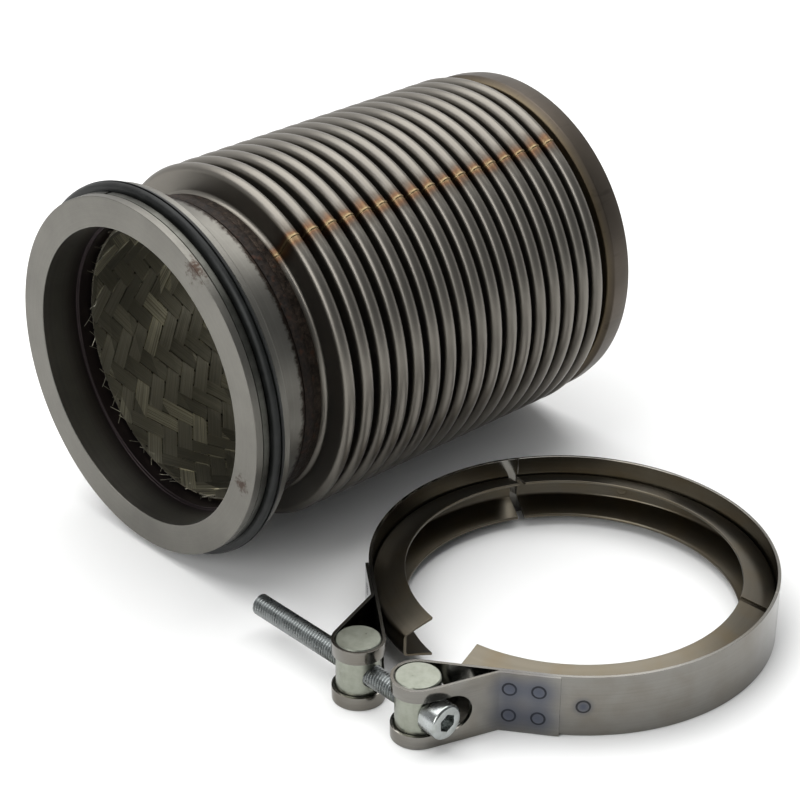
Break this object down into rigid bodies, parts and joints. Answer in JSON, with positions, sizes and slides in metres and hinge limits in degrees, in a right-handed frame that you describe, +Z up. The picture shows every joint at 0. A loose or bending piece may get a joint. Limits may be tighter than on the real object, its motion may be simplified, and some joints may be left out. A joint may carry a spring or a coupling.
{
  "type": "metal bellows expansion joint",
  "caption": "Metal bellows expansion joint for an exhaust pipe, with a V-flange inlet, braided inner liner, socket cuff outlet and a loose V-band clamp with its screw.",
  "frame": {"origin": "centre of the V-flange's front face, on the bellows axis", "axes": "+X along the bellows axis from the flange to the rear cuff, +Z up with the bellows and the clamp lying on the same surface"},
  "size_m": [0.2114, 0.291, 0.1464],
  "materials": {
    "turned_steel": "turned satin",
    "piston_ring_iron": "turned dark",
    "black_seal": "satin black",
    "weld_metal": "oxidised",
    "bellows_stainless": "satin, heat tinted at the seam",
    "cuff_steel": "brown tinted",
    "braid_wire": "woven flat wire",
    "band_stainless": "polished",
    "retainer_stainless": "pressed",
    "zinc_plated_barrel": "zinc plated",
    "zinc_plated_screw": "zinc plated"
  },
  "bodies": {
    "flange": {"v_flange": "turned_steel", "split_seal_ring": "piston_ring_iron", "rear_seal_ring": "black_seal", "liner_retaining_ring": "cuff_steel", "braided_liner": "braid_wire", "bellows_end_front": "bellows_stainless", "end_collar_front": "bellows_stainless", "weld_bead_front": "weld_metal"},
    "convolution_01": {"bellows_convolution_01": "bellows_stainless"},
    "convolution_02": {"bellows_convolution_02": "bellows_stainless"},
    "convolution_03": {"bellows_convolution_03": "bellows_stainless"},
    "convolution_04": {"bellows_convolution_04": "bellows_stainless"},
    "convolution_05": {"bellows_convolution_05": "bellows_stainless"},
    "convolution_06": {"bellows_convolution_06": "bellows_stainless"},
    "convolution_07": {"bellows_convolution_07": "bellows_stainless"},
    "convolution_08": {"bellows_convolution_08": "bellows_stainless"},
    "convolution_09": {"bellows_convolution_09": "bellows_stainless"},
    "convolution_10": {"bellows_convolution_10": "bellows_stainless"},
    "convolution_11": {"bellows_convolution_11": "bellows_stainless"},
    "convolution_12": {"bellows_convolution_12": "bellows_stainless"},
    "convolution_13": {"bellows_convolution_13": "bellows_stainless"},
    "convolution_14": {"bellows_convolution_14": "bellows_stainless"},
    "convolution_15": {"bellows_convolution_15": "bellows_stainless"},
    "convolution_16": {"bellows_convolution_16": "bellows_stainless"},
    "convolution_17": {"bellows_convolution_17": "bellows_stainless"},
    "cuff": {"bellows_end_rear": "bellows_stainless", "rear_cuff": "cuff_steel", "weld_bead_rear": "weld_metal"},
    "clamp_middle": {"clamp_band_middle": "band_stainless", "retainer_middle": "retainer_stainless"},
    "clamp_nut_side": {"clamp_band_nut_side": "band_stainless", "retainer_nut_side": "retainer_stainless"},
    "clamp_head_side": {"clamp_band_head_side": "band_stainless", "retainer_head_side": "retainer_stainless"},
    "nut": {"barrel_nut": "zinc_plated_barrel"},
    "pin": {"barrel_pin": "zinc_plated_barrel"},
    "screw": {"clamp_screw": "zinc_plated_screw"}
  },
  "joints": [
    {"name": "bend_vertical_front", "type": "hinge", "parent": "flange", "child": "convolution_01", "pos_m": [0.0406, 0, 0], "axis": [0, -1, 0], "range_deg": [-0.83, 0.83], "stiffness_Nm_per_rad": 860, "deforming": ["braided_liner"]},
    {"name": "bellows_stroke", "type": "slide", "parent": "convolution_01", "child": "convolution_02", "axis": [1, 0, 0], "range_m": [-0.0015, 0.0015], "stiffness_N_per_m": 180000, "deforming": ["braided_liner"]},
    {"name": "bend_sideways_front", "type": "hinge", "parent": "convolution_02", "child": "convolution_03", "pos_m": [0.05873, 0, 0], "axis": [0, 0, 1], "range_deg": [-0.83, 0.83], "stiffness_Nm_per_rad": 860, "deforming": ["braided_liner"]},
    {"name": "bend_vertical_front_2", "type": "hinge", "parent": "convolution_03", "child": "convolution_04", "pos_m": [0.06738, 0, 0], "axis": [0, -1, 0], "range_deg": [-0.83, 0.83], "stiffness_Nm_per_rad": 860},
    {"name": "bellows_stroke_2", "type": "slide", "parent": "convolution_04", "child": "convolution_05", "axis": [1, 0, 0], "range_m": [-0.0015, 0.0015], "stiffness_N_per_m": 180000},
    {"name": "bend_sideways_front_2", "type": "hinge", "parent": "convolution_05", "child": "convolution_06", "pos_m": [0.08421, 0, 0], "axis": [0, 0, 1], "range_deg": [-0.83, 0.83], "stiffness_Nm_per_rad": 860},
    {"name": "bend_vertical_front_3", "type": "hinge", "parent": "convolution_06", "child": "convolution_07", "pos_m": [0.09247, 0, 0], "axis": [0, -1, 0], "range_deg": [-0.83, 0.83], "stiffness_Nm_per_rad": 860},
    {"name": "bellows_stroke_3", "type": "slide", "parent": "convolution_07", "child": "convolution_08", "axis": [1, 0, 0], "range_m": [-0.0015, 0.0015], "stiffness_N_per_m": 180000},
    {"name": "bend_sideways_front_3", "type": "hinge", "parent": "convolution_08", "child": "convolution_09", "pos_m": [0.10884, 0, 0], "axis": [0, 0, 1], "range_deg": [-0.83, 0.83], "stiffness_Nm_per_rad": 860},
    {"name": "bend_vertical_rear", "type": "hinge", "parent": "convolution_09", "child": "convolution_10", "pos_m": [0.11697, 0, 0], "axis": [0, -1, 0], "range_deg": [-0.83, 0.83], "stiffness_Nm_per_rad": 860, "deforming": ["braided_liner"]},
    {"name": "bellows_stroke_4", "type": "slide", "parent": "convolution_10", "child": "convolution_11", "axis": [1, 0, 0], "range_m": [-0.0015, 0.0015], "stiffness_N_per_m": 180000},
    {"name": "bend_sideways_rear", "type": "hinge", "parent": "convolution_11", "child": "convolution_12", "pos_m": [0.13317, 0, 0], "axis": [0, 0, 1], "range_deg": [-0.83, 0.83], "stiffness_Nm_per_rad": 860, "deforming": ["braided_liner"]},
    {"name": "bend_vertical_rear_2", "type": "hinge", "parent": "convolution_12", "child": "convolution_13", "pos_m": [0.14125, 0, 0], "axis": [0, -1, 0], "range_deg": [-0.83, 0.83], "stiffness_Nm_per_rad": 860},
    {"name": "bellows_stroke_5", "type": "slide", "parent": "convolution_13", "child": "convolution_14", "axis": [1, 0, 0], "range_m": [-0.0015, 0.0015], "stiffness_N_per_m": 180000},
    {"name": "bend_sideways_rear_2", "type": "hinge", "parent": "convolution_14", "child": "convolution_15", "pos_m": [0.15739, 0, 0], "axis": [0, 0, 1], "range_deg": [-0.83, 0.83], "stiffness_Nm_per_rad": 860},
    {"name": "bend_vertical_rear_3", "type": "hinge", "parent": "convolution_15", "child": "convolution_16", "pos_m": [0.16545, 0, 0], "axis": [0, -1, 0], "range_deg": [-0.83, 0.83], "stiffness_Nm_per_rad": 860},
    {"name": "bellows_stroke_6", "type": "slide", "parent": "convolution_16", "child": "convolution_17", "axis": [1, 0, 0], "range_m": [-0.0015, 0.0015], "stiffness_N_per_m": 180000},
    {"name": "bend_sideways_rear_3", "type": "hinge", "parent": "convolution_17", "child": "cuff", "pos_m": [0.18228, 0, 0], "axis": [0, 0, 1], "range_deg": [-0.83, 0.83], "stiffness_Nm_per_rad": 860},
    {"name": "clamp_lift", "type": "slide", "parent": "flange", "child": "clamp_middle", "axis": [0, -0.5, 0.866], "range_m": [0, 0.08]},
    {"name": "clamp_open_nut_side", "type": "hinge", "parent": "clamp_middle", "child": "clamp_nut_side", "pos_m": [0.12283, -0.07748, -0.0612], "axis": [0, 0, -1], "range_deg": [-2.2, 10]},
    {"name": "clamp_open", "type": "hinge", "parent": "clamp_middle", "child": "clamp_head_side", "pos_m": [0.12283, -0.20852, -0.0612], "axis": [0, 0, 1], "range_deg": [-2.2, 10]},
    {"name": "nut_swivel", "type": "hinge", "parent": "clamp_nut_side", "child": "nut", "pos_m": [-0.0043, -0.12805, -0.0612], "axis": [0, 0, 1], "range_deg": [-2.2, 10]},
    {"name": "pin_swivel", "type": "hinge", "parent": "clamp_head_side", "child": "pin", "pos_m": [-0.0043, -0.15795, -0.0612], "axis": [0, 0, -1], "range_deg": [-2.2, 10]},
    {"name": "screw_spin", "type": "hinge", "parent": "pin", "child": "screw", "pos_m": [-0.0043, -0.16445, -0.0612], "axis": [0, -1, 0], "continuous": true}
  ],
  "couplings": [
    {"joint": "bend_vertical_front_2", "follows": "bend_vertical_front", "ratio": 1},
    {"joint": "bellows_stroke_2", "follows": "bellows_stroke", "ratio": 1},
    {"joint": "bend_sideways_front_2", "follows": "bend_sideways_front", "ratio": 1},
    {"joint": "bend_vertical_front_3", "follows": "bend_vertical_front", "ratio": 1},
    {"joint": "bellows_stroke_3", "follows": "bellows_stroke", "ratio": 1},
    {"joint": "bend_sideways_front_3", "follows": "bend_sideways_front", "ratio": 1},
    {"joint": "bellows_stroke_4", "follows": "bellows_stroke", "ratio": 1},
    {"joint": "bend_vertical_rear_2", "follows": "bend_vertical_rear", "ratio": 1},
    {"joint": "bellows_stroke_5", "follows": "bellows_stroke", "ratio": 1},
    {"joint": "bend_sideways_rear_2", "follows": "bend_sideways_rear", "ratio": 1},
    {"joint": "bend_vertical_rear_3", "follows": "bend_vertical_rear", "ratio": 1},
    {"joint": "bellows_stroke_6", "follows": "bellows_stroke", "ratio": 1},
    {"joint": "bend_sideways_rear_3", "follows": "bend_sideways_rear", "ratio": 1},
    {"joint": "clamp_open_nut_side", "follows": "clamp_open", "ratio": 1},
    {"joint": "nut_swivel", "follows": "clamp_open", "ratio": 1},
    {"joint": "pin_swivel", "follows": "clamp_open", "ratio": 1}
  ]
}
